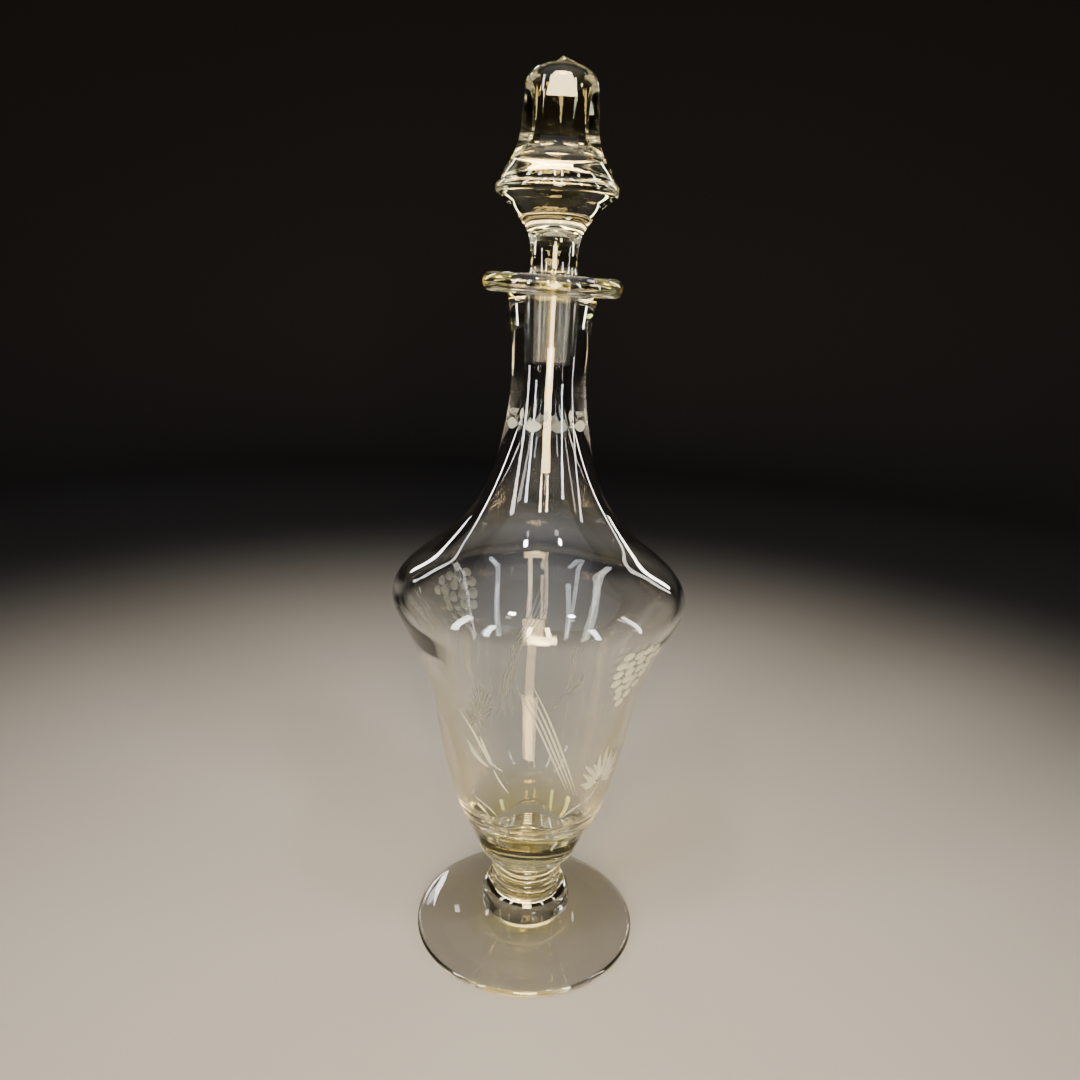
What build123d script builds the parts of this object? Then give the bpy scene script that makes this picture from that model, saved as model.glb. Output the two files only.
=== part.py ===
from build123d import *
import math
import os

# Wine decanter in clear glass, with a ground stopper. Millimetres, +Z up.
# The origin is the centre of the foot's resting face, and the axis of every gather is the Z axis.
# Outlines are half sections in the XZ plane: x is the radius and the second value is the height.

# Heights of the flat joins between the gathers, measured from the table
foot_join = 7.6
knop_join = 22.9
stem_join = 39.2
collar_join = 42.4
neck_join = 273.2
lip_top = 280.3

# Foot
foot_radius = 48.0
foot_rim = 3.4  # thickness of the glass at the rim
rest_inner_radius = 37.0  # inside this radius the underside rises off the table
underside_rise = 1.3

# Knop, stem and collar
stem_radius = 14.9
stem_fillet = 1.2  # how far the knop's ends stand outside the stem
knop_radius = 19.5
knop_middle = 13.1  # height of the knop's widest ring
ring_count = 7  # rings tooled into the stem
ring_swell = 0.28
collar_radius = 21.1
collar_middle = 40.6
bowl_foot_radius = 21.5

# Bowl and neck
shoulder_radius = 58.9
shoulder_height = 158.5
waist_radius = 14.1
waist_height = 243.0
neck_end_radius = 16.6
shoulder_wall = 2.7
cavity_floor = 50.9
cavity_floor_radius = 14.5
cavity_floor_rise = 1.2
bore_radius = 6.2
bore_start = 238.0

# Stopper and the ground seat it sits in
plug_end = 249.6
plug_end_radius = 6.2
plug_top_radius = 6.75
seat_clearance = 0.05  # radial gap between the plug and its seat
seat_end = 248.6  # the ground seat runs a little past the plug
seat_step = 0.4
plug_join = 279.5  # where the plug's ground surface ends and the finial's clear glass begins

# Lip
lip_radius = 25.9

# Finial
finial_base = 280.6  # just above the lip, so that the plug carries the stopper
finial_neck_radius = 8.6
finial_neck_waist = 286.5
cone_base = 292.4
cone_end_radius = 9.4  # the neck widens to this at the foot of the cone
flange_radius = 22.2
flange_low = 307.6
flange_high = 311.2
bell_top = 343.6
bell_top_radius = 12.6
crown_height = 349.4
crown_flat_radius = 6.0
nub_height = 3.0
nub_radius = 3.9

# The flutes ground into the bell, one of them facing the front
flute_count = 7
flute_low = 315.2
flute_high = 347.2
flute_reach = 30.0  # the cutter goes out past the bell to this radius
flute_half_width = 12.0

# The bowl's wall between its ends: height, outer radius and wall, measured level
belly_stations = [
    (61.0, 29.9, 4.4),
    (78.0, 35.2, 3.3),
    (98.0, 39.5, 2.9),
    (118.0, 43.4, 2.9),
    (136.0, 49.9, 3.3),
    (150.0, 56.2, 3.1),
]
shoulder_stations = [
    (169.5, 52.2, 4.3),
    (178.0, 41.4, 5.3),
    (189.0, 30.4, 5.2),
    (205.0, 21.1, 5.4),
    (224.0, 16.4, 7.6),
]

# Radius and height, going up, of the finial's cone, of its bell and of the floor of a flute
cone_middle = (12.9, 299.0)
bell_stations = [(17.0, 319.0), (14.05, 328.5), (13.25, 337.0)]
flute_floor = [
    (20.5, flute_low),
    (14.0, 322.6),
    (12.4, 331.0),
    (12.1, 338.0),
    (12.1, flute_high),
]

os.makedirs("parts", exist_ok=True)


def seat_radius(height):
    """Radius of the ground seat, which tapers like the plug."""
    taper = (plug_top_radius - plug_end_radius) / (lip_top - plug_end)
    return plug_end_radius + seat_clearance + taper * (height - plug_end)


# Foot: a thin disc that rises to the knop, with a flat ring to rest on and a hollow inside it
with BuildPart() as foot:
    with BuildSketch(Plane.XZ):
        with BuildLine():
            rim_start = foot_radius - foot_rim / 2
            Line((rest_inner_radius, 0), (rim_start, 0))
            ThreePointArc((rim_start, 0), (foot_radius, foot_rim / 2), (rim_start, foot_rim))
            Spline(
                (rim_start, foot_rim),
                (31, foot_rim + 1.1),
                (stem_radius + stem_fillet, foot_join),
                tangents=[(-1, 0), (-1, 0.45)],
            )
            Line((stem_radius + stem_fillet, foot_join), (0, foot_join))
            Line((0, foot_join), (0, underside_rise))
            Spline(
                (0, underside_rise),
                (rest_inner_radius, 0),
                tangents=[(1, 0), (1, -0.12)],
            )
        make_face()
    revolve(axis=Axis.Z)

# Lower knop: a squat bulge, widest below its middle
with BuildPart() as lower_knop:
    with BuildSketch(Plane.XZ):
        with BuildLine():
            Spline(
                (stem_radius + stem_fillet, foot_join),
                (knop_radius, knop_middle),
                tangents=[(1, 0.6), (0, 1)],
            )
            Spline(
                (knop_radius, knop_middle),
                (stem_radius + stem_fillet / 2, knop_join),
                tangents=[(0, 1), (-1, 0.25)],
            )
            Polyline(
                (stem_radius + stem_fillet / 2, knop_join),
                (0, knop_join),
                (0, foot_join),
                (stem_radius + stem_fillet, foot_join),
            )
        make_face()
    revolve(axis=Axis.Z)

# Stem: a short solid rod with rings left by the tool
with BuildPart() as stem:
    with BuildSketch(Plane.XZ):
        with BuildLine():
            ring_pitch = (stem_join - knop_join) / ring_count
            for i in range(ring_count):
                ring_foot = knop_join + i * ring_pitch
                ThreePointArc(
                    (stem_radius, ring_foot),
                    (stem_radius + ring_swell, ring_foot + ring_pitch / 2),
                    (stem_radius, ring_foot + ring_pitch),
                )
            Polyline(
                (stem_radius, stem_join),
                (0, stem_join),
                (0, knop_join),
                (stem_radius, knop_join),
            )
        make_face()
    revolve(axis=Axis.Z)

# Upper collar: a thin disc with a tight round edge and a flat underside, which carries the bowl
with BuildPart() as upper_collar:
    with BuildSketch(Plane.XZ):
        with BuildLine():
            underside_edge = (collar_radius - 1.1, stem_join + 0.3)
            Line((stem_radius + stem_fillet / 2, stem_join), underside_edge)
            ThreePointArc(
                underside_edge,
                (collar_radius, collar_middle),
                (bowl_foot_radius, collar_join),
            )
            Polyline(
                (bowl_foot_radius, collar_join),
                (0, collar_join),
                (0, stem_join),
                (stem_radius + stem_fillet / 2, stem_join),
            )
        make_face()
    revolve(axis=Axis.Z)

# Bowl: one blown bubble, thick at the floor and in the neck, thin at the shoulder
outer_belly = [(radius, height) for height, radius, wall in belly_stations]
inner_belly = [(radius - wall, height) for height, radius, wall in belly_stations]
outer_shoulder = [(radius, height) for height, radius, wall in shoulder_stations]
inner_shoulder = [(radius - wall, height) for height, radius, wall in shoulder_stations]
outer_widest = (shoulder_radius, shoulder_height)
inner_widest = (shoulder_radius - shoulder_wall, shoulder_height)
floor_edge = (cavity_floor_radius, cavity_floor + cavity_floor_rise)
with BuildPart() as bowl:
    with BuildSketch(Plane.XZ):
        with BuildLine():
            Spline(
                (bowl_foot_radius, collar_join),
                *outer_belly,
                outer_widest,
                *outer_shoulder,
                (waist_radius, waist_height),
                (neck_end_radius, neck_join),
                tangents=[(0.42, 1), (0.16, 1)],
            )
            Line((neck_end_radius, neck_join), (seat_radius(neck_join), neck_join))
            Line((seat_radius(neck_join), neck_join), (seat_radius(seat_end), seat_end))
            Line((seat_radius(seat_end), seat_end), (bore_radius, seat_end - seat_step))
            Line((bore_radius, seat_end - seat_step), (bore_radius, bore_start))
            Spline(
                (bore_radius, bore_start),
                *reversed(inner_shoulder),
                inner_widest,
                *reversed(inner_belly),
                floor_edge,
                tangents=[(0, -1), (-1, -0.55)],
            )
            Spline(floor_edge, (0, cavity_floor), tangents=[(-1, -0.2), (-1, 0)])
            Polyline((0, cavity_floor), (0, collar_join), (bowl_foot_radius, collar_join))
        make_face()
    revolve(axis=Axis.Z)

# Lip ring: a thick round-edged ring trailed round the top of the neck
with BuildPart() as lip_ring:
    with BuildSketch(Plane.XZ):
        with BuildLine():
            lip_bead = (lip_top - neck_join) / 2
            Line((seat_radius(neck_join), neck_join), (lip_radius - lip_bead, neck_join))
            ThreePointArc(
                (lip_radius - lip_bead, neck_join),
                (lip_radius, neck_join + lip_bead),
                (lip_radius - lip_bead, lip_top),
            )
            Line((lip_radius - lip_bead, lip_top), (seat_radius(lip_top) + 1.2, lip_top))
            Line((seat_radius(lip_top) + 1.2, lip_top), (seat_radius(lip_top - 1), lip_top - 1))
            Line((seat_radius(lip_top - 1), lip_top - 1), (seat_radius(neck_join), neck_join))
        make_face()
    revolve(axis=Axis.Z)

# Stopper plug: the ground end, with its bottom edge rounded off
plug_join_radius = seat_radius(plug_join) - seat_clearance
with BuildPart() as stopper_plug:
    with BuildSketch(Plane.XZ):
        with BuildLine():
            Polyline(
                (0, plug_end),
                (plug_end_radius, plug_end),
                (plug_join_radius, plug_join),
                (0, plug_join),
                close=True,
            )
        make_face()
    revolve(axis=Axis.Z)
    bottom_edge = stopper_plug.edges().filter_by(GeomType.CIRCLE).sort_by(Axis.Z)[0]
    fillet(bottom_edge, radius=0.8)

# Stopper finial: neck, cone, flange and bell are one revolved shape, then the flutes are cut
neck_base = (finial_neck_radius + 0.5, finial_base)
flange_underside = (flange_radius - 1.5, flange_low - 0.9)
flange_upper_edge = (flange_radius - 0.7, flange_high)
groove_floor = (flange_radius - 1.9, flange_high + 0.8)
with BuildPart() as stopper_finial:
    with BuildSketch(Plane.XZ):
        with BuildLine():
            Polyline(
                (0, plug_join),
                (plug_join_radius, plug_join),
                (plug_join_radius, finial_base),
                neck_base,
            )
            Spline(
                neck_base,
                (finial_neck_radius, finial_neck_waist),
                (cone_end_radius, cone_base),
                tangents=[(-0.45, 1), (0.35, 1)],
            )
            Spline(
                (cone_end_radius, cone_base),
                cone_middle,
                flange_underside,
                tangents=[(0.2, 1), (1, 0.6)],
            )
            ThreePointArc(
                flange_underside,
                (flange_radius, flange_low + 1.4),
                flange_upper_edge,
            )
            Line(flange_upper_edge, groove_floor)
            Spline(
                groove_floor,
                *bell_stations,
                (bell_top_radius, bell_top),
                tangents=[(-0.1, 1), (-0.12, 1)],
            )
            Spline(
                (bell_top_radius, bell_top),
                (bell_top_radius - 2.0, crown_height - 2.3),
                (crown_flat_radius, crown_height),
                tangents=[(-0.12, 1), (-1, 0.25)],
            )
            Line((crown_flat_radius, crown_height), (nub_radius, crown_height))
            Spline(
                (nub_radius, crown_height),
                (0, crown_height + nub_height),
                tangents=[(-1, 0.8), (-1, 0.25)],
            )
            Line((0, crown_height + nub_height), (0, plug_join))
        make_face()
    revolve(axis=Axis.Z)
    # One flute: its floor follows the bell, flat across, and runs out at both ends
    for i in range(flute_count):
        facing = -90 + i * 360 / flute_count
        outward = (math.cos(math.radians(facing)), math.sin(math.radians(facing)), 0)
        across = (-outward[1], outward[0], 0)
        section = Plane(origin=(0, 0, 0), x_dir=outward, z_dir=tuple(-a for a in across))
        with BuildSketch(section):
            with BuildLine():
                Spline(*flute_floor)
                Polyline(
                    flute_floor[-1],
                    (flute_reach, flute_high),
                    (flute_reach, flute_low),
                    flute_floor[0],
                )
            make_face()
        extrude(amount=flute_half_width, both=True, mode=Mode.SUBTRACT)

pieces = {
    "foot": foot,
    "lower_knop": lower_knop,
    "stem": stem,
    "upper_collar": upper_collar,
    "bowl": bowl,
    "lip_ring": lip_ring,
    "stopper_finial": stopper_finial,
    "stopper_plug": stopper_plug,
}
for name, piece in pieces.items():
    piece.part.label = name
    export_step(piece.part, f"parts/{name}.step")
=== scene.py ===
import math

import bpy
import numpy as np
from mathutils import Matrix, Vector
from mathutils.geometry import delaunay_2d_cdt


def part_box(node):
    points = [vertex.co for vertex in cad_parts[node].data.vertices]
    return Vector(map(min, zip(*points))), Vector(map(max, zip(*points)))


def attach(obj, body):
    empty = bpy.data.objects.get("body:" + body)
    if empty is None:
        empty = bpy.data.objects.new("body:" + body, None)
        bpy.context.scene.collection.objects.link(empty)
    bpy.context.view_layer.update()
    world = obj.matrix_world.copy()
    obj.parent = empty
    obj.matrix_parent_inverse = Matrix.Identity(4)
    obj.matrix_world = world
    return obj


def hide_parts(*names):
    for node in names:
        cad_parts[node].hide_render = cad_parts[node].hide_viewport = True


# A clear glass wine decanter with a ground stopper, on a pale floor.
# Lengths are in metres in the CAD's frame: +Z up, and the axis of the decanter is the Z axis.

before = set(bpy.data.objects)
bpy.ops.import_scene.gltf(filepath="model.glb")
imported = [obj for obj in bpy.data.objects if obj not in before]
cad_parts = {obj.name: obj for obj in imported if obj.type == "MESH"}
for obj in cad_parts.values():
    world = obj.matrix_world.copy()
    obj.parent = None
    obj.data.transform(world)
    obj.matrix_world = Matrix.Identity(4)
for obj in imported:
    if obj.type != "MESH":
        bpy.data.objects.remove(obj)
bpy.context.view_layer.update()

MM = 0.001
AROUND = 192  # segments round each turned shape
JOIN_GAP = 0.005 * MM  # between the faces where two gathers of glass are fused

# The gathers' ends and widths, from the CAD
foot_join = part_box("foot")[1].z
foot_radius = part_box("foot")[1].x
knop_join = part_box("lower_knop")[1].z
knop_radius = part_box("lower_knop")[1].x
stem_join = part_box("stem")[1].z
collar_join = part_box("upper_collar")[1].z
shoulder_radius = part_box("bowl")[1].x
neck_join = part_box("bowl")[1].z
lip_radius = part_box("lip_ring")[1].x
lip_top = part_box("lip_ring")[1].z
plug_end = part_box("stopper_plug")[0].z
plug_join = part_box("stopper_plug")[1].z
plug_top_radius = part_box("stopper_plug")[1].x


# ---------------------------------------------------------------- outlines

def curve(points, start=None, end=None, step=0.8 * MM):
    """A smooth curve through these points, with these directions at its ends, as points a step apart."""
    p = np.array(points, float)
    chord = np.linalg.norm(np.diff(p, axis=0), axis=1)
    last = len(p) - 1
    system = np.eye(last + 1)
    slopes = np.zeros_like(p)
    for i in range(1, last):
        system[i, i - 1 : i + 2] = chord[i], 2 * (chord[i - 1] + chord[i]), chord[i - 1]
        before = (p[i] - p[i - 1]) / chord[i - 1]
        after = (p[i + 1] - p[i]) / chord[i]
        slopes[i] = 3 * (chord[i] * before + chord[i - 1] * after)
    for i, near, direction in ((0, 1, start), (last, last - 1, end)):
        if direction is None:
            system[i, near] = 0.5
            slopes[i] = 1.5 * (p[max(i, near)] - p[min(i, near)]) / chord[min(i, near)]
        else:
            slopes[i] = np.array(direction, float) / np.linalg.norm(direction)
    m = np.linalg.solve(system, slopes)
    out = [p[0]]
    for i in range(last):
        count = max(2, round(chord[i] / step))
        for t in np.arange(1, count + 1) / count:
            h00, h10 = (1 + 2 * t) * (1 - t) ** 2, t * (1 - t) ** 2
            h01, h11 = t * t * (3 - 2 * t), t * t * (t - 1)
            out.append(h00 * p[i] + h10 * chord[i] * m[i] + h01 * p[i + 1] + h11 * chord[i] * m[i + 1])
    return np.array(out)


def arc(a, through, b, count=12):
    """Points on the circle arc from a through a middle point to b."""
    a, m, b = (np.array(q, float) for q in (a, through, b))
    system = 2 * np.array([m - a, b - a])
    centre = np.linalg.solve(system, [m @ m - a @ a, b @ b - a @ a])
    radius = np.linalg.norm(a - centre)
    angles = [math.atan2(*(q - centre)[::-1]) for q in (a, m, b)]
    turn = (angles[2] - angles[0]) % math.tau
    if (angles[1] - angles[0]) % math.tau > turn:
        turn -= math.tau
    steps = angles[0] + turn * np.linspace(0, 1, count + 1)
    return centre + radius * np.stack([np.cos(steps), np.sin(steps)], 1)


def line(a, b, count=1):
    return np.linspace(np.array(a, float), np.array(b, float), count + 1)


def run_of(outline):
    """The direction in which an outline runs at each of its points."""
    way = np.gradient(outline, axis=0)
    return way / np.linalg.norm(way, axis=1)[:, None]


# ---------------------------------------------------------------- turned shapes

GLASS, JOIN, GROUND, CUT = 0, 1, 2, 3


def as_is(points):
    return points


def tangents(azimuth, direction):
    """Round and along a turned surface at this azimuth, where its outline runs in this direction."""
    sine, cosine = math.sin(azimuth), math.cos(azimuth)
    return -sine, cosine, 0, cosine * direction[0], sine * direction[0], direction[1]


class Skin:
    """Points, faces and their normals, collected for one mesh."""

    def __init__(self, shape):
        self.shape = shape
        self.points, self.faces, self.slots = [], [], []
        self.corners = []  # for each face corner: two directions in the surface, or None
        self.ridges = frozenset()  # points on the sharp floors of cuts

    def add(self, point):
        self.points.append(point)
        return len(self.points) - 1

    def face(self, indices, slot, directions):
        kept = [n for n, c in enumerate(indices) if c != indices[n - 1]]
        if len(kept) > 2:
            self.faces.append([indices[n] for n in kept])
            self.slots.append(slot)
            self.corners.extend(directions[n] for n in kept)

    def normals(self):
        """The shaped surface's normal at each corner, and zero where the face's own normal is wanted."""
        at = np.array([c for face in self.faces for c in face])
        stated = np.array([pair is not None for pair in self.corners])
        pairs = np.array([pair or (1, 0, 0, 0, 1, 0) for pair in self.corners], float)
        around, along = pairs[:, :3], pairs[:, 3:]
        here = np.array(self.points, float)[at]
        reach = 0.05 * MM
        across = self.shape(here + reach * around) - self.shape(here - reach * around)
        up = self.shape(here + reach * along) - self.shape(here - reach * along)
        normal = np.cross(across, up)
        normal /= np.maximum(np.linalg.norm(normal, axis=1), 1e-12)[:, None]
        normal[~stated] = 0
        return normal

    def piece(self, name):
        used, at = np.unique(np.concatenate([np.array(f) for f in self.faces]), return_inverse=True)
        co = self.shape(np.array(self.points, float))[used]
        ends = np.cumsum([len(f) for f in self.faces])
        faces = np.split(at, ends[:-1])
        mesh = bpy.data.meshes.new(name)
        mesh.from_pydata(co.tolist(), [], [f.tolist() for f in faces])
        mesh.polygons.foreach_set("material_index", self.slots)
        mesh.polygons.foreach_set("use_smooth", [True] * len(faces))
        creased = {}
        for face, slot in zip(faces, self.slots):
            if slot == CUT:
                for n in range(len(face)):
                    edge = frozenset((int(face[n]), int(face[n - 1])))
                    creased[edge] = creased.get(edge, 0) + 1
        ridges = set(np.flatnonzero(np.isin(used, sorted(self.ridges))).tolist())
        sharp = [
            creased.get(frozenset(e.vertices), 0) == 1
            or (e.vertices[0] in ridges and e.vertices[1] in ridges)
            for e in mesh.edges
        ]
        mesh.attributes.new("sharp_edge", "BOOLEAN", "EDGE").data.foreach_set("value", sharp)
        mesh.update()
        mesh.normals_split_custom_set(self.normals().tolist())
        piece = bpy.data.objects.new(name, mesh)
        bpy.context.scene.collection.objects.link(piece)
        return piece


def turned_skin(runs, around=AROUND, shape=as_is, cuts=()):
    """A shape of revolution, and its last ring of points. runs are (material index, outline points) going
    round the half section, smooth within a run and creased between runs. shape moves the finished points.
    cuts are the patches to engrave, each a run number, two heights, two columns and its marks."""
    skin = Skin(shape)

    def ring(radius, height):
        if radius < 1e-7:
            return [skin.add((0, 0, height))] * (around + 1)
        azimuths = [math.tau * k / around - math.pi / 2 for k in range(around)]
        made = [skin.add((radius * math.cos(a), radius * math.sin(a), height)) for a in azimuths]
        return made + made[:1]

    first = last = ring(*runs[0][1][0])
    for number, (slot, outline) in enumerate(runs):
        outline = np.array(outline)
        direction = run_of(outline)
        rings = [last]
        for k, (radius, height) in enumerate(outline[1:]):
            closes = number == len(runs) - 1 and k == len(outline) - 2 and len(set(first)) > 1
            rings.append(first if closes else ring(radius, height))
        last = rings[-1]
        opened = set()
        for patch in cuts:
            if patch["run"] == number:
                opened |= engrave(skin, outline, direction, rings, patch, around)
        for k in range(len(outline) - 1):
            for i in range(around):
                if (k, i) in opened:
                    continue
                here, there = (math.tau * n / around - math.pi / 2 for n in (i, i + 1))
                if rings[k][i] == rings[k][i + 1] or rings[k + 1][i] == rings[k + 1][i + 1]:
                    here = there = (here + there) / 2
                low, high = direction[k], direction[k + 1]
                skin.face(
                    [rings[k][i], rings[k][i + 1], rings[k + 1][i + 1], rings[k + 1][i]], slot,
                    [tangents(here, low), tangents(there, low), tangents(there, high), tangents(here, high)],
                )
    return skin, last


def turned(name, runs, around=AROUND, shape=as_is, cuts=()):
    return turned_skin(runs, around, shape, cuts)[0].piece(name)


# ---------------------------------------------------------------- engraving

class Mark:
    """One wheel cut in the glass. Its own plane has x to the right and y up, in mm, with its origin at a
    place given as azimuth from the front, in degrees, and height, in mm."""

    def __init__(self, place):
        self.place = place

    def laid(self, spot, squeeze):
        """Its outline and its inner points, in the patch's plane."""
        self.spot, self.squeeze = np.array(spot), np.array([squeeze, 1.0])
        return self.outline * self.squeeze + self.spot, self.inner * self.squeeze + self.spot

    def depth(self, p):
        return self.depth_here((p - self.spot) / self.squeeze)


class Leaf(Mark):
    """A cut pointed at both ends, from a to b, bowed to the left by bend, with a sharp floor."""

    def __init__(self, place, a, b, width, bend=0.0, deep=0.25, grain=0.9):
        super().__init__(place)
        self.a, self.b = np.array(a, float), np.array(b, float)
        self.long = float(np.linalg.norm(self.b - self.a))
        self.way = (self.b - self.a) / self.long
        self.left = np.array([-self.way[1], self.way[0]])
        self.half, self.bend, self.deep = width / 2, bend, deep
        count = max(6, round(self.long / grain))
        t = np.linspace(0, 1, count + 1)
        middle = self.middle(t)
        side = (self.half * self.fullness(t))[:, None] * self.left
        self.outline = np.vstack([(middle - side)[:-1], (middle + side)[:0:-1]])
        self.inner = middle[1:-1]
        self.ridge = True

    def fullness(self, t):
        return (4 * t * (1 - t)) ** 0.8

    def middle(self, t):
        t = np.atleast_1d(t)[:, None]
        return self.a + self.way * self.long * t + self.left * self.bend * 4 * t * (1 - t)

    def depth_here(self, p):
        t = np.clip((p - self.a) @ self.way / self.long, 0, 1)
        full = self.fullness(t)
        off = np.abs((p - self.a) @ self.left - self.bend * 4 * t * (1 - t))
        return self.deep * full**0.6 * np.clip(1 - off / np.maximum(self.half * full, 1e-6), 0, 1)


class Dimple(Mark):
    """A round hollow, as a grape."""

    def __init__(self, place, centre, radius, deep=0.4):
        super().__init__(place)
        self.centre, self.radius, self.deep = np.array(centre, float), radius, deep
        turn = np.linspace(0, math.tau, 18, endpoint=False)
        unit = np.stack([np.cos(turn), np.sin(turn)], 1)
        self.outline = self.centre + radius * unit
        rings = [self.centre + 0.7 * radius * unit[::2], self.centre + 0.35 * radius * unit[::3]]
        self.inner = np.vstack([*rings, [self.centre]])
        self.ridge = False

    def depth_here(self, p):
        far = np.linalg.norm(p - self.centre, axis=1) / self.radius
        return self.deep * np.clip(1 - far * far, 0, 1)


def clear_of(points, outline, gap):
    """Which points lie outside the outline and at least gap from it."""
    a, b = outline, np.roll(outline, -1, axis=0)
    d = b - a
    rel = points[:, None] - a
    t = np.clip((rel * d).sum(2) / (d * d).sum(1), 0, 1)
    near = np.linalg.norm(rel - t[..., None] * d, axis=2).min(1)
    crosses = (a[:, 1] > points[:, None, 1]) != (b[:, 1] > points[:, None, 1])
    with np.errstate(divide="ignore", invalid="ignore"):
        at = a[:, 0] + (points[:, None, 1] - a[:, 1]) * d[:, 0] / d[:, 1]
    inside = (crosses & (points[:, None, 0] < at)).sum(1) % 2 == 1
    return ~inside & (near > gap)


def lay_marks(marks, outline, lengths, scale, border, grid, gap):
    """Lays marks out flat inside a border, and drops the grid's points that come too near them. Returns all
    points, the edges along the cuts' floors, the border and the marks as polygons, and the floors' points."""
    heights = outline[:, 1] / MM
    points, edges, polygons, ridge_points = list(border), [], [list(range(len(border)))], set()
    for mark in marks:
        azimuth, height = mark.place
        spot = (math.radians(azimuth) * scale, float(np.interp(height, heights, lengths)))
        squeeze = scale / (float(np.interp(height, heights, outline[:, 0])) / MM)
        outer, inner = mark.laid(spot, squeeze)
        near = (grid > outer.min(0) - gap).all(1) & (grid < outer.max(0) + gap).all(1)
        keep = ~near
        if near.any():
            keep[np.flatnonzero(near)] = clear_of(grid[near], outer, gap)
        grid = grid[keep]
        start = len(points)
        points += [tuple(q) for q in outer] + [tuple(q) for q in inner]
        polygons.append(list(range(start, start + len(outer))))
        if mark.ridge:
            chain = [start, *range(start + len(outer), len(points)), start + len(outer) // 2]
            edges += list(zip(chain, chain[1:]))
            ridge_points.update(chain)
    return points + [tuple(q) for q in grid], edges, polygons, ridge_points


def engrave(skin, outline, direction, rings, patch, around):
    """Meshes one patch of a turned surface again, with its marks cut in. Returns the cells it takes."""
    low, high = (int(np.searchsorted(outline[:, 1] / MM, patch[end])) for end in ("low", "high"))
    first, last = patch["columns"]
    lengths = np.concatenate([[0], np.cumsum(np.linalg.norm(np.diff(outline, axis=0), axis=1))]) / MM
    scale = float(outline[low : high + 1, 0].mean()) / MM
    step = math.tau / around * scale

    def flat(row, column):
        return column * step, lengths[row]

    border = [(low, k) for k in range(first, last)] + [(i, last) for i in range(low, high)]
    border += [(high, k) for k in range(last, first, -1)] + [(i, first) for i in range(high, low, -1)]
    grid = np.array([flat(i, k) for i in range(low + 1, high) for k in range(first + 1, last)])
    gap = 0.45 * min(step, float(np.diff(lengths[low : high + 1]).mean()))
    points, edges, polygons, ridge_points = lay_marks(
        patch["marks"], outline, lengths, scale, [flat(*at) for at in border], grid, gap
    )
    flat_points = [Vector(q) for q in points]
    made, _, triangles, origin, _, face_from = delaunay_2d_cdt(flat_points, edges, polygons, 1, 1e-4)
    at = np.array([tuple(v) for v in made])
    depth = np.zeros(len(at))
    for mark in patch["marks"]:
        depth = np.maximum(depth, mark.depth(at))
    azimuth = at[:, 0] / scale - math.pi / 2
    place = np.stack([np.interp(at[:, 1], lengths, outline[:, n]) for n in (0, 1)], 1)
    along = np.stack([np.interp(at[:, 1], lengths, direction[:, n]) for n in (0, 1)], 1)
    along /= np.linalg.norm(along, axis=1)[:, None]
    sunk = place + depth[:, None] * MM * np.stack([-along[:, 1], along[:, 0]], 1)
    index, ridges = [], set(skin.ridges)
    for n in range(len(at)):
        known = [o for o in origin[n] if o < len(border)]
        if known:
            row, column = border[known[0]]
            index.append(rings[row][column % around])
        else:
            radius, height = sunk[n]
            index.append(skin.add((radius * math.cos(azimuth[n]), radius * math.sin(azimuth[n]), height)))
            if depth[n] > 0 and any(o in ridge_points for o in origin[n]):
                ridges.add(index[-1])
    skin.ridges = frozenset(ridges)
    for triangle, sources in zip(triangles, face_from):
        cut = any(source > 0 for source in sources)
        pairs = [None if cut else tangents(azimuth[v], along[v]) for v in triangle]
        skin.face([index[v] for v in triangle], CUT if cut else GLASS, pairs)
    return {(i, k % around) for i in range(low, high) for k in range(first, last)}


# ---------------------------------------------------------------- unevenness of hand work

# Each shape gets a few low waves round it and up it. Their heights and the places where they fade are in mm.

def ease(x, low, high):
    t = np.clip((x - low) / (high - low), 0, 1)
    return t * t * (3 - 2 * t)


def polar(points):
    p = np.array(points, float)
    return p, np.hypot(p[:, 0], p[:, 1]), np.arctan2(p[:, 1], p[:, 0]), p[:, 2] / MM


def swell(p, radius, by):
    """Moves points outwards by this many millimetres."""
    wider = 1 + by * MM / np.maximum(radius, MM)
    return p * np.stack([wider, wider, np.ones(len(p))], 1)


def uneven_foot(points):
    """The foot's top is a little wavy, and its rim a little out of round."""
    p, radius, azimuth, z = polar(points)
    r = radius / MM
    lift = 0.16 * np.cos(2 * azimuth + 1.0 + 0.05 * r) + 0.09 * np.cos(3 * azimuth - 0.6)
    lift += 0.04 * np.cos(7 * azimuth + 0.2 * r)
    p[:, 2] += lift * MM * ease(z, 1.5, 3.0) * ease(r, 17, 27) * (1 - ease(r, 40, 46.5))
    round_by = 0.16 * np.cos(2 * azimuth + 0.5) + 0.07 * np.cos(5 * azimuth)
    return swell(p, radius, round_by * ease(r, 30, 46))


def uneven_stem(points):
    """The knop, stem and collar, which stay true where the foot and the bowl join them."""
    p, radius, azimuth, z = polar(points)
    by = 0.11 * np.cos(2 * azimuth + 0.4 + 0.06 * z) + 0.07 * np.cos(3 * azimuth + 0.11 * z)
    return swell(p, radius, by * ease(z, 8, 14) * (1 - ease(z, 37, 42)) * radius / (15 * MM))


def lean(p):
    """The lip and the top of the neck lean a little to the right."""
    p[:, 2] -= math.tan(math.radians(1.2)) * p[:, 0] * ease(p[:, 2] / MM, 256, 273)
    return p


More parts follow.
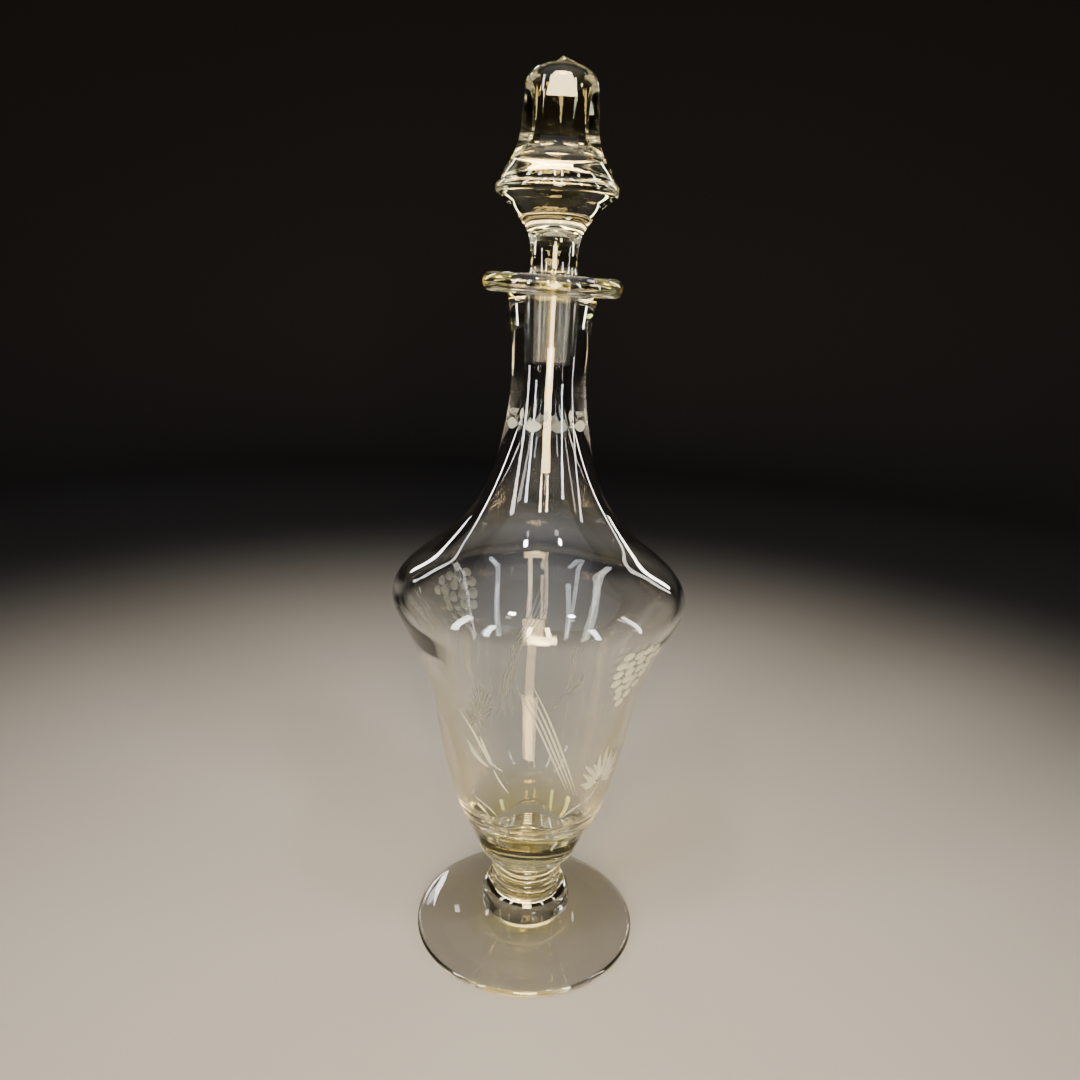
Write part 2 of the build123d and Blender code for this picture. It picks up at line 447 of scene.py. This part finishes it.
def uneven_bowl(points):
    """Blown glass: each side of the wall is uneven in its own way. Its floor, bore and neck end are true."""
    p, radius, azimuth, z = polar(points)
    outside = np.interp(p[:, 2], bowl_side[:, 1], bowl_side[:, 0])
    outer = 0.24 * np.cos(2 * azimuth + 0.7 + 0.012 * z) + 0.12 * np.cos(3 * azimuth - 1.1 + 0.03 * z)
    outer += 0.045 * np.cos(7 * azimuth + 0.08 * z) + 0.03 * np.cos(0.21 * z + 1.3 * np.cos(azimuth))
    inner = 0.26 * np.cos(2 * azimuth - 0.5 + 0.02 * z) + 0.16 * np.cos(3 * azimuth + 2.0 + 0.025 * z)
    inner += 0.09 * np.cos(5 * azimuth + 0.07 * z) + 0.06 * np.cos(9 * azimuth - 0.05 * z)
    inner += 0.05 * np.cos(0.17 * z + 1.7 * np.cos(azimuth + 1.0))
    inner *= ease(radius / MM, 7.5, 18) * (0.1 + 0.9 * ease(z, 60, 100))
    by = np.where((radius < 0.98 * outside) & (z > 50), inner, outer)
    by *= 0.3 + 0.7 * ease(outside / MM, 14, 42)
    return lean(swell(p, radius, by * ease(z, 45, 60) * (1 - ease(z, 236, 256))))


def uneven_lip(points):
    p, radius, azimuth, z = polar(points)
    by = 0.13 * np.cos(2 * azimuth - 0.8) + 0.06 * np.cos(3 * azimuth + 0.9)
    return lean(swell(p, radius, by * ease(radius / MM, 17, 23)))


# ---------------------------------------------------------------- the gathers of glass

def foot():
    rim = 3.4 * MM
    rim_start = foot_radius - rim / 2
    hollow = 37 * MM
    top = foot_join - JOIN_GAP
    edge = 16.1 * MM
    return turned("foot_glass", [
        (GLASS, curve([(0, 1.3 * MM), (hollow, 0)], (1, 0), (1, -0.12), 2 * MM)),
        (GLASS, line((hollow, 0), (rim_start, 0), 4)),
        (GLASS, np.vstack([
            arc((rim_start, 0), (foot_radius, rim / 2), (rim_start, rim), 16)[:-1],
            curve([(rim_start, rim), (31 * MM, rim + 1.1 * MM), (edge, top)], (-1, 0), (-1, 0.45)),
        ])),
        (JOIN, line((edge, top), (0, top))),
    ], shape=uneven_foot)


def lower_knop():
    bottom, top = foot_join + JOIN_GAP, knop_join - JOIN_GAP
    low_edge, high_edge, stem_edge = 16.1 * MM, 15.5 * MM, 14.9 * MM
    middle = (knop_radius, 13.1 * MM)
    return turned("knop_glass", [
        (JOIN, line((0, bottom), (low_edge, bottom))),
        (GLASS, np.vstack([
            curve([(low_edge, bottom), middle], (1, 0.6), (0, 1), 0.6 * MM)[:-1],
            curve([middle, (high_edge, top)], (0, 1), (-1, 0.25), 0.6 * MM),
        ])),
        (GLASS, line((high_edge, top), (stem_edge, top))),
        (JOIN, line((stem_edge, top), (0, top))),
    ], shape=uneven_stem)


def stem():
    bottom, top = knop_join + JOIN_GAP, stem_join - JOIN_GAP
    radius, bulge, rings = 14.9 * MM, 0.28 * MM, 7
    pitch = (top - bottom) / rings
    runs = [(JOIN, line((0, bottom), (radius, bottom)))]
    for i in range(rings):
        low = bottom + i * pitch
        runs.append((GLASS, arc((radius, low), (radius + bulge, low + pitch / 2), (radius, low + pitch), 6)))
    runs.append((JOIN, line((radius, top), (0, top))))
    return turned("stem_glass", runs, shape=uneven_stem)


def upper_collar():
    bottom, top = stem_join + JOIN_GAP, collar_join - JOIN_GAP
    stem_edge, fillet_edge, bowl_edge = 14.9 * MM, 15.5 * MM, 21.5 * MM
    under = (20.0 * MM, 39.5 * MM)
    return turned("collar_glass", [
        (JOIN, line((0, bottom), (stem_edge, bottom))),
        (GLASS, line((stem_edge, bottom), (fillet_edge, bottom))),
        (GLASS, line((fillet_edge, bottom), under, 4)),
        (GLASS, arc(under, (21.1 * MM, 40.6 * MM), (bowl_edge, top), 10)),
        (JOIN, line((bowl_edge, top), (0, top))),
    ], shape=uneven_stem)


# The bowl's wall: height, outer radius and wall, measured level, in mm
belly = [
    (61.0, 29.9, 4.4), (78.0, 35.2, 3.3), (98.0, 39.5, 2.9),
    (118.0, 43.4, 2.9), (136.0, 49.9, 3.3), (150.0, 56.2, 3.1),
]
shoulder = [
    (169.5, 52.2, 4.3), (178.0, 41.4, 5.3), (189.0, 30.4, 5.2), (205.0, 21.1, 5.4), (224.0, 16.4, 7.6),
]
bowl_foot_radius = 21.5 * MM
neck_end_radius = 16.6 * MM
bore_radius = 6.2 * MM
seat_end = plug_end - 1.0 * MM


def seat_radius(height):
    """Radius of the ground seat, which tapers like the plug."""
    low, high = bore_radius + 0.05 * MM, plug_top_radius + 0.05 * MM
    return low + (high - low) * (height - plug_end) / (plug_join - plug_end)


def bowl_outer():
    bottom, top = collar_join + JOIN_GAP, neck_join - JOIN_GAP
    stations = [(r * MM, h * MM) for h, r, wall in belly]
    stations += [(shoulder_radius, 158.5 * MM)]
    stations += [(r * MM, h * MM) for h, r, wall in shoulder]
    stations += [(14.1 * MM, 243 * MM)]
    stations = [(bowl_foot_radius, bottom), *stations, (neck_end_radius, top)]
    return curve(stations, (0.42, 1), (0.16, 1), 1.1 * MM)


bowl_side = bowl_outer()


def neck_band():
    """A ring of ten leaves round the neck, with a bud over each gap."""
    marks = []
    for n in range(10):
        leaf_at = (17.0 + 36 * n, 226.9)
        gap_at = (35.0 + 36 * n, 226.9)
        marks.append(Leaf(leaf_at, (-3.5, 0), (3.5, 0), 4.2, deep=0.45, grain=0.5))
        marks.append(Leaf(gap_at, (-1.0, 0), (1.0, 0), 0.6, deep=0.12, grain=0.4))
        marks.append(Leaf(gap_at, (0, 1.6), (0, 6.2), 2.0, deep=0.3, grain=0.45))
    return {"run": 1, "low": 223.0, "high": 235.0, "columns": (18, 18 + AROUND), "marks": marks}


def spray(turn):
    """Four narrow leaves on a stalk."""
    place = (turn - 22.0, 98.0)
    return [
        Leaf(place, (-12.8, 23.6), (-0.8, 0.6), 1.3, 0.6, 0.22),
        Leaf(place, (-10.6, 9.4), (-1.4, -0.4), 2.3, -1.4, 0.34),
        Leaf(place, (-4.4, 13.8), (0.1, 0.4), 1.5, -0.3, 0.26),
        Leaf(place, (0.3, -0.6), (6.6, -11.6), 0.8, -0.5, 0.18),
    ]


def rays(turn):
    """Four long straight cuts side by side."""
    place = (turn + 11.0, 112.0)
    return [
        Leaf(place, (-12.9 + 1.35 * n, 27.0 + 1.3 * n), (8.3 + 2.0 * n, -24.6 - 1.4 * n), 0.8, -1.1, 0.2)
        for n in range(4)
    ]


def grapes(turn):
    """A bunch of grapes: rows of round hollows that narrow downwards."""
    marks = []
    for row, count in enumerate((4, 5, 4, 4, 3, 2, 1)):
        for n in range(count):
            sway = 0.5 * math.sin(2.3 * row + 1.7 * n)
            across = (n - (count - 1) / 2) * 4.7 + 0.9 * math.sin(1.9 * row) + sway
            down = 14.5 - 4.35 * row + 0.5 * math.cos(2.9 * n + row)
            marks.append(Dimple((turn + 44.0, 137.0), (across, down), 2.2 + 0.15 * sway, 0.55))
    return marks


def vine_leaf(turn):
    """A leaf of five lobes, each hatched with three cuts, on a bent stalk."""
    place = (turn + 46.0, 88.0)
    marks = []
    for lobe, reach in ((6, 10.5), (46, 14.0), (88, 17.0), (130, 14.5), (170, 10.5)):
        for side in (-1, 0, 1):
            angle = math.radians(lobe + 13 * side)
            way = np.array([math.cos(angle), math.sin(angle)])
            start, end = way * (1.4 + 1.2 * abs(side)), way * (reach - 2.4 * abs(side))
            marks.append(Leaf(place, start, end, 1.9, 0.5 * side, 0.35))
    marks.append(Leaf(place, (0, 0.2), (-5.5, -9.0), 0.8, 1.2, 0.18))
    return marks


def bowl_bands():
    """The bowl's decoration, cut twice, half a turn apart."""
    marks = []
    for turn in (0, 180):
        marks += spray(turn) + rays(turn) + grapes(turn) + vine_leaf(turn)
    return {"run": 1, "low": 72.0, "high": 156.0, "columns": (-48, AROUND - 48), "marks": marks}


def bowl():
    bottom, top = collar_join + JOIN_GAP, neck_join - JOIN_GAP
    floor_edge = (14.5 * MM, 52.1 * MM)
    inner = [(bore_radius, 238 * MM)]
    inner += [((r - wall) * MM, h * MM) for h, r, wall in reversed(shoulder)]
    inner += [(shoulder_radius - 2.7 * MM, 158.5 * MM)]
    inner += [((r - wall) * MM, h * MM) for h, r, wall in reversed(belly)]
    step = seat_end - 0.4 * MM
    return turned("bowl_glass", [
        (JOIN, line((0, bottom), (bowl_foot_radius, bottom))),
        (GLASS, bowl_side),
        (JOIN, line((neck_end_radius, top), (seat_radius(top), top))),
        (GROUND, line((seat_radius(top), top), (seat_radius(seat_end), seat_end), 12)),
        (GLASS, line((seat_radius(seat_end), seat_end), (bore_radius, step))),
        (GLASS, np.vstack([
            line((bore_radius, step), inner[0], 5)[:-1],
            curve([*inner, floor_edge], (0, -1), (-1, -0.8), 1.4 * MM),
        ])),
        (GLASS, curve([floor_edge, (0, 53.4 * MM)], (-1, 0.35), (-1, 0), 1.4 * MM)),
    ], shape=uneven_bowl, cuts=(neck_band(), bowl_bands()))


def lip_ring():
    bottom = neck_join + JOIN_GAP
    bead = (lip_top - bottom) / 2
    inner_top = seat_radius(lip_top) + 1.2 * MM
    chamfer = lip_top - 1 * MM
    edge = lip_radius - bead
    return turned("lip_glass", [
        (JOIN, line((seat_radius(bottom), bottom), (neck_end_radius, bottom))),
        (GLASS, np.vstack([
            line((neck_end_radius, bottom), (edge, bottom), 4)[:-1],
            arc((edge, bottom), (lip_radius, bottom + bead), (edge, lip_top), 24)[:-1],
            line((edge, lip_top), (inner_top, lip_top), 8),
        ])),
        (GLASS, line((inner_top, lip_top), (seat_radius(chamfer), chamfer), 2)),
        (GROUND, line((seat_radius(chamfer), chamfer), (seat_radius(bottom), bottom), 4)),
    ], shape=uneven_lip)


def stopper_plug():
    end_radius = bore_radius
    round_off = 0.8 * MM
    top = plug_join - JOIN_GAP
    low = plug_end + round_off
    low_radius = end_radius + (plug_top_radius - end_radius) * round_off / (plug_join - plug_end)
    middle = (low_radius - 0.29 * round_off, plug_end + 0.29 * round_off)
    return turned("plug_glass", [
        (GROUND, line((0, plug_end), (low_radius - round_off, plug_end), 4)),
        (GROUND, arc((low_radius - round_off, plug_end), middle, (low_radius, low), 8)),
        (GROUND, line((low_radius, low), (plug_top_radius, top), 16)),
        (JOIN, line((plug_top_radius, top), (0, top))),
    ])


# The stopper's bell, and the floor of one of its flutes: radius and height, going up, in mm
bell_points = [(20.3, 312.0), (17.0, 319.0), (14.05, 328.5), (13.25, 337.0), (12.6, 343.6)]
crown_points = [(12.6, 343.6), (10.6, 347.1), (6.0, 349.4)]
flute_points = [(20.5, 315.2), (14.0, 322.6), (12.4, 331.0), (12.1, 338.0), (12.1, 347.2)]
FLUTES = 7
# The point on top is broken off and ground: each facet's azimuth in degrees and its slope
facets = [(180, 1.05), (-118, 0.7), (-48, 0.55), (12, 0.49), (88, 0.6)]


def in_mm(points):
    return [(r * MM, z * MM) for r, z in points]


def facet_at(azimuth):
    """The point's facet at this azimuth: its slope that way, its own azimuth and its own slope."""
    turned_to = [(math.radians(at), slope) for at, slope in facets]
    return max((slope * math.cos(azimuth - facing), facing, slope) for facing, slope in turned_to)


def bell_outline():
    """The bell and its crown, going up, as they would be without flutes and without the point on top."""
    fine, flat = 0.2 * MM, 30
    outline = np.vstack([
        curve(in_mm(bell_points), (-0.1, 1), (-0.12, 1), fine)[:-1],
        curve(in_mm(crown_points), (-0.12, 1), (-1, 0.25), fine),
    ])
    return np.vstack([outline, line(outline[-1], (0.02 * MM, outline[-1][1]), flat)[1:]])


PER_FLUTE = 28  # columns of points across each flute
AROUND_BELL = FLUTES * PER_FLUTE
BELOW, FLUTED, OVER, POINTED = 12, 40, 26, 5  # rows below the flutes, down them, over the crown, up the point


def fluted_columns(bell, floor, tip):
    """For each column of points round the bell, its azimuth and its points, going up. The rows follow the
    creases where the flutes run out and where the point on top begins."""
    reach = np.concatenate([[0], np.cumsum(np.linalg.norm(np.diff(bell, axis=0), axis=1))])
    heights = np.linspace(floor[0][1], floor[-1][1], 600)
    bell_there = np.interp(heights, bell[:, 1], bell[:, 0])
    floor_there = np.interp(heights, floor[:, 1], floor[:, 0])

    def on_bell(lengths):
        return [[np.interp(s, reach, bell[:, n]) for n in (0, 1)] for s in lengths]

    columns = []
    for k in range(AROUND_BELL):
        azimuth = math.tau * k / AROUND_BELL - math.pi / 2
        off = (k / PER_FLUTE + 0.5) % 1 - 0.5
        cosine = math.cos(off * math.tau / FLUTES)
        cut = np.flatnonzero(bell_there * cosine > floor_there)
        low, high = heights[cut[0]], heights[cut[-1]]
        below = bell[:, 1] + bell[:, 0] * facet_at(azimuth)[0] - tip
        start = np.flatnonzero(below > 0)[-1] if below.max() > 0 else np.argmax(below)
        first, last = (float(np.interp(z, bell[:, 1], reach)) for z in (low, high))
        column = on_bell(np.linspace(0, first, BELOW + 1)[:-1])
        for z in np.linspace(low, high, FLUTED + 1)[:-1]:
            column.append([np.interp(z, floor[:, 1], floor[:, 0]) / cosine, z])
        column += on_bell(np.linspace(last, reach[start], OVER + 1))
        column += [list(q) for q in line(column[-1], (0, tip), POINTED)[1:-1]]
        columns.append((azimuth, np.array(column)))
    return columns


def stopper_finial():
    """The stopper above its ground plug, with seven flutes cut down the bell."""
    bottom, base = plug_join + JOIN_GAP, 280.6 * MM
    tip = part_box("stopper_finial")[1].z
    flange, groove = in_mm([(20.7, 306.7), (21.5, 311.2)])
    lower = [
        (JOIN, line((0, bottom), (plug_top_radius, bottom))),
        (GLASS, line((plug_top_radius, bottom), (plug_top_radius, base), 2)),
        (GLASS, line((plug_top_radius, base), (9.1 * MM, base))),
        (GLASS, curve(in_mm([(9.1, 280.6), (8.6, 286.5), (9.4, 292.4)]), (-0.45, 1), (0.35, 1), 0.4 * MM)),
        (GLASS, curve([*in_mm([(9.4, 292.4), (12.9, 299.0)]), flange], (0.2, 1), (1, 0.6), 0.5 * MM)),
        (GLASS, arc(flange, (22.2 * MM, 309.0 * MM), groove, 14)),
        (GLASS, line(groove, in_mm(bell_points)[0], 2)),
    ]
    bell = bell_outline()
    floor = curve(in_mm(flute_points), None, None, 0.2 * MM)
    bell_run, floor_run = run_of(bell), run_of(floor)
    columns = fluted_columns(bell, floor, tip)
    skin, first_row = turned_skin(lower, AROUND_BELL)
    rows = [first_row]
    top = len(columns[0][1]) - 1
    for i in range(1, top + 1):
        made = [skin.add((c[i][0] * math.cos(a), c[i][0] * math.sin(a), c[i][1])) for a, c in columns]
        rows.append(made + made[:1])
    rows.append([skin.add((0, 0, tip))] * (AROUND_BELL + 1))

    def pair(i, k, cell, row):
        """The tangents at row i and column k, seen from the face in this cell and row."""
        azimuth, column = columns[k % AROUND_BELL]
        if BELOW <= row < BELOW + FLUTED:
            facing = math.tau * math.floor(cell / PER_FLUTE + 0.5 + 1e-6) / FLUTES - math.pi / 2
            return tangents(facing, [np.interp(column[i][1], floor[:, 1], floor_run[:, n]) for n in (0, 1)])
        if row < BELOW + FLUTED + OVER:
            nearest = np.argmin(np.abs(bell[:, 1] - column[i][1]) + np.abs(bell[:, 0] - column[i][0]))
            return tangents(azimuth, bell_run[nearest])
        _, facing, slope = facet_at(math.tau * (cell + 0.5) / AROUND_BELL - math.pi / 2)
        return tangents(facing, (-1, slope))

    for row in range(len(rows) - 1):
        low, high = min(row, top), min(row + 1, top)
        for cell in range(AROUND_BELL):
            corners = [(low, cell), (low, cell + 1), (high, cell + 1), (high, cell)]
            skin.face(
                [rows[row][cell], rows[row][cell + 1], rows[row + 1][cell + 1], rows[row + 1][cell]], GLASS,
                [pair(i, k, cell, row) for i, k in corners],
            )
    return skin.piece("finial_glass")


# ---------------------------------------------------------------- materials

GLASS_IOR = 1.52


def new_material(name):
    material = bpy.data.materials.new(name)
    material.use_nodes = True
    tree = material.node_tree
    return material, tree, tree.nodes["Principled BSDF"]


def node(tree, kind, inputs=(), **settings):
    made = tree.nodes.new(kind)
    for key, value in settings.items():
        setattr(made, key, value)
    for key, value in dict(inputs).items():
        if isinstance(value, bpy.types.NodeSocket):
            tree.links.new(value, made.inputs[key])
        else:
            made.inputs[key].default_value = value
    return made


def multiply(tree, a, b):
    return node(tree, "ShaderNodeMath", {0: a, 1: b}, operation="MULTIPLY").outputs[0]


def blend(tree, factor, low, high):
    """A colour that goes from low to high as the factor goes from 0 to 1."""
    mix = node(tree, "ShaderNodeMix", {"Factor": factor}, data_type="RGBA")
    mix.inputs[6].default_value = (*low, 1)
    mix.inputs[7].default_value = (*high, 1)
    return mix.outputs[2]


def glass(name, tint, deep=20 * MM, paler=None):
    """Clear glass. Light that has run a depth of it on its way out takes the tint, as in real glass. Between
    the two heights in paler the tint fades away upwards. Such glass is also stronger in colour edge on."""
    material, tree, shader = new_material(name)
    shader.inputs["Transmission Weight"].default_value = 1
    shader.inputs["IOR"].default_value = GLASS_IOR
    shader.inputs["Roughness"].default_value = 0
    path = node(tree, "ShaderNodeLightPath")
    side = node(tree, "ShaderNodeNewGeometry")
    inside = multiply(tree, path.outputs["Ray Length"], side.outputs["Backfacing"])
    place = node(tree, "ShaderNodeTexCoord")
    amount = node(tree, "ShaderNodeMapRange", {"Value": inside, "From Max": deep}).outputs[0]
    if paler:
        split = node(tree, "ShaderNodeSeparateXYZ", {0: place.outputs["Object"]})
        span = {"From Min": paler[0], "From Max": paler[1], "To Min": 1, "To Max": 0.12}
        fade = node(tree, "ShaderNodeMapRange", {"Value": split.outputs["Z"], **span},
                    interpolation_type="SMOOTHSTEP")
        edge = node(tree, "ShaderNodeLayerWeight", {"Blend": 0.5})
        rim = node(tree, "ShaderNodeMapRange", {
            "Value": edge.outputs["Facing"], "From Min": 0.45, "From Max": 1, "To Max": 0.8,
        })
        longest = node(tree, "ShaderNodeMath", {0: amount, 1: rim.outputs[0]}, operation="MAXIMUM")
        amount = multiply(tree, longest.outputs[0], fade.outputs[0])
    squared = [part * part for part in tint]  # the shader takes its square root
    tree.links.new(blend(tree, amount, (1, 1, 1), squared), shader.inputs["Base Color"])
    ripple = {"Scale": 90, "Detail": 3}
    noise = node(tree, "ShaderNodeTexNoise", {"Vector": place.outputs["Object"], **ripple})
    bump = node(tree, "ShaderNodeBump", {"Height": noise.outputs[0], "Strength": 1, "Distance": 0.012 * MM})
    tree.links.new(bump.outputs[0], shader.inputs["Normal"])
    return material


def frosted(name, colour, roughness, transmission):
    """Glass cut with a wheel and left unpolished, so that it shows white."""
    material, tree, shader = new_material(name)
    place = node(tree, "ShaderNodeTexCoord")
    fine = {"Scale": 2600, "Detail": 4, "Roughness": 0.7}
    grit = node(tree, "ShaderNodeTexNoise", {"Vector": place.outputs["Object"], **fine})
    span = {"From Min": 0.3, "From Max": 0.7, "To Min": 0.78}
    shade = node(tree, "ShaderNodeMapRange", {"Value": grit.outputs[0], **span})
    tree.links.new(blend(tree, shade.outputs[0], (0, 0, 0), colour), shader.inputs["Base Color"])
    rough = node(tree, "ShaderNodeBump", {"Height": grit.outputs[0], "Strength": 1, "Distance": 0.02 * MM})
    tree.links.new(rough.outputs[0], shader.inputs["Normal"])
    shader.inputs["Transmission Weight"].default_value = transmission
    shader.inputs["IOR"].default_value = GLASS_IOR
    shader.inputs["Roughness"].default_value = roughness
    return material


def join_clear():
    """The inside of the glass where two gathers are fused: nothing shows."""
    material, tree, shader = new_material("fused_join")
    tree.nodes.remove(shader)
    clear = node(tree, "ShaderNodeBsdfTransparent")
    tree.links.new(clear.outputs[0], tree.nodes["Material Output"].inputs["Surface"])
    return material


clear_glass = glass("clear_glass", (0.84, 0.80, 0.48))
bowl_glass = glass("bowl_glass", (0.84, 0.76, 0.20), 12 * MM, (80 * MM, 165 * MM))
lip_tinted = glass("lip_glass", (0.55, 0.52, 0.14), 14 * MM)
ground = frosted("ground_glass", (0.93, 0.92, 0.86), 0.15, 1.0)
engraved = frosted("engraved_glass", (0.74, 0.78, 0.68), 0.42, 0.80)
join = join_clear()

# ---------------------------------------------------------------- pieces

pieces = [
    (foot(), "foot", "decanter", "clear_glass", clear_glass),
    (lower_knop(), "lower_knop", "decanter", "clear_glass", clear_glass),
    (stem(), "stem", "decanter", "clear_glass", clear_glass),
    (upper_collar(), "upper_collar", "decanter", "clear_glass", clear_glass),
    (bowl(), "bowl", "decanter", "clear_glass", bowl_glass),
    (lip_ring(), "lip_ring", "decanter", "lip_glass", lip_tinted),
    (stopper_plug(), "stopper_plug", "stopper", "ground_glass", clear_glass),
    (stopper_finial(), "stopper_finial", "stopper", "clear_glass", clear_glass),
]
for piece, replaced, body, slot, main in pieces:
    for material in (main, join, ground, engraved):
        piece.data.materials.append(material)
    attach(piece, body)
    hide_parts(replaced)

# ---------------------------------------------------------------- floor, light and camera

def cyclorama():
    """A floor that curves up into a wall all round, pale by the decanter and darker away from it: a painted
    pool of light.
    """
    radius, bend, height = 1.5, 0.45, 1.3
    floor_level = -0.1 * MM
    outline = np.vstack([
        line((0, floor_level), (radius - bend, floor_level), 8)[:-1],
        arc((radius - bend, floor_level), (radius - bend * 0.293, bend * 0.293), (radius, bend), 24)[:-1],
        line((radius, bend), (radius, height), 6),
    ])
    floor = turned("floor", [(0, outline)], 96)
    floor.data.flip_normals()
    material, tree, shader = new_material("floor_painted_falloff")
    place = node(tree, "ShaderNodeTexCoord")
    split = node(tree, "ShaderNodeSeparateXYZ", {0: place.outputs["Object"]})
    level = node(tree, "ShaderNodeCombineXYZ", {"X": split.outputs["X"], "Y": split.outputs["Y"]})
    far = node(tree, "ShaderNodeVectorMath", {0: level.outputs[0]}, operation="LENGTH")
    span = {"From Min": 0.05, "From Max": 0.75}
    away = node(tree, "ShaderNodeMapRange", {"Value": far.outputs["Value"], **span},
                interpolation_type="SMOOTHERSTEP")
    # Painted pool of light: pale near the decanter, fading to painted shade, nearly black, far off.
    near, painted_shade_far = (0.22, 0.21, 0.195), (0.009, 0.009, 0.010)
    tree.links.new(blend(tree, away.outputs[0], near, painted_shade_far), shader.inputs["Base Color"])
    shader.inputs["Roughness"].default_value = 0.7
    shader.inputs["Specular IOR Level"].default_value = 0
    floor.data.materials.append(material)


cyclorama()


def softbox(name, where, width, height, power, colour=(1, 1, 1)):
    """A soft light that faces the decanter. It lights the glass and shows in its shine."""
    light = bpy.data.lights.new(name, "AREA")
    light.shape = "RECTANGLE"
    light.size, light.size_y = width, height
    light.energy = power
    light.color = colour
    light.spread = math.radians(110)
    lamp = bpy.data.objects.new(name, light)
    lamp.location = where
    towards = Vector((0, 0, 0.18)) - Vector(where)
    lamp.rotation_euler = towards.to_track_quat("-Z", "Y").to_euler()
    lamp.visible_camera = False
    bpy.context.scene.collection.objects.link(lamp)


# The warm strips in front show down the middle of the glass, and the cool ones to each side of it. The
# narrow lights at the sides and behind draw its edges.
WARM = (1, 0.73, 0.36)
softbox("key", (-0.95, -0.5, 0.55), 0.12, 0.9, 5, (1, 0.96, 0.90))
softbox("low_strip", (0.06, -1.05, 0.30), 0.38, 0.56, 16, WARM)
softbox("neck_strip", (0.04, -0.62, 0.12), 0.10, 0.2, 1.5, WARM)
for side, x in (("left", -0.12), ("right", 0.15)):
    softbox("frame_" + side, (x, -1.05, 0.88), 0.07, 0.52, 4, (1, 0.80, 0.50))
    softbox("spark_" + side, (2.5 * x, -0.45, 1.2), 0.07, 0.07, 1.5)
    softbox("front_" + side, (6 * x, -0.95, 0.6), 0.10, 0.8, 5, (0.88, 0.94, 1.0))
softbox("right", (1.05, -0.2, 0.5), 0.06, 0.9, 2.5, (1, 0.95, 0.88))
softbox("rim", (0.8, 0.85, 0.7), 0.05, 0.6, 2, (1, 0.93, 0.82))
softbox("back", (-0.75, 0.9, 0.7), 0.05, 0.6, 1.2)
softbox("window", (-0.2, 1.1, 0.84), 0.06, 0.07, 0.14)
softbox("ceiling", (0, -0.35, 1.35), 2.4, 1.6, 3.6, (0.94, 0.94, 1.0))

world = bpy.data.worlds.new("soft_room")
bpy.context.scene.world = world
world.use_nodes = True
world.node_tree.nodes["Background"].inputs["Color"].default_value = (0.75, 0.77, 0.8, 1)
world.node_tree.nodes["Background"].inputs["Strength"].default_value = 0.1

camera_data = bpy.data.cameras.new("camera")
camera_data.sensor_width = 36
camera_data.lens = 29.1
camera = bpy.data.objects.new("camera", camera_data)
eye = (0, -0.3338, 0.2768)
look_down, roll, turn = math.radians(16.3), math.radians(2.6), math.radians(0.09)
camera.matrix_world = (
    Matrix.Translation(eye)
    @ Matrix.Rotation(turn, 4, "Z")
    @ Matrix.Rotation(math.pi / 2 - look_down, 4, "X")
    @ Matrix.Rotation(roll, 4, "Z")
)
bpy.context.scene.collection.objects.link(camera)
bpy.context.scene.camera = camera

cycles = bpy.context.scene.cycles
cycles.max_bounces = 32
cycles.glossy_bounces = 12
cycles.transmission_bounces = 24
cycles.transparent_max_bounces = 24
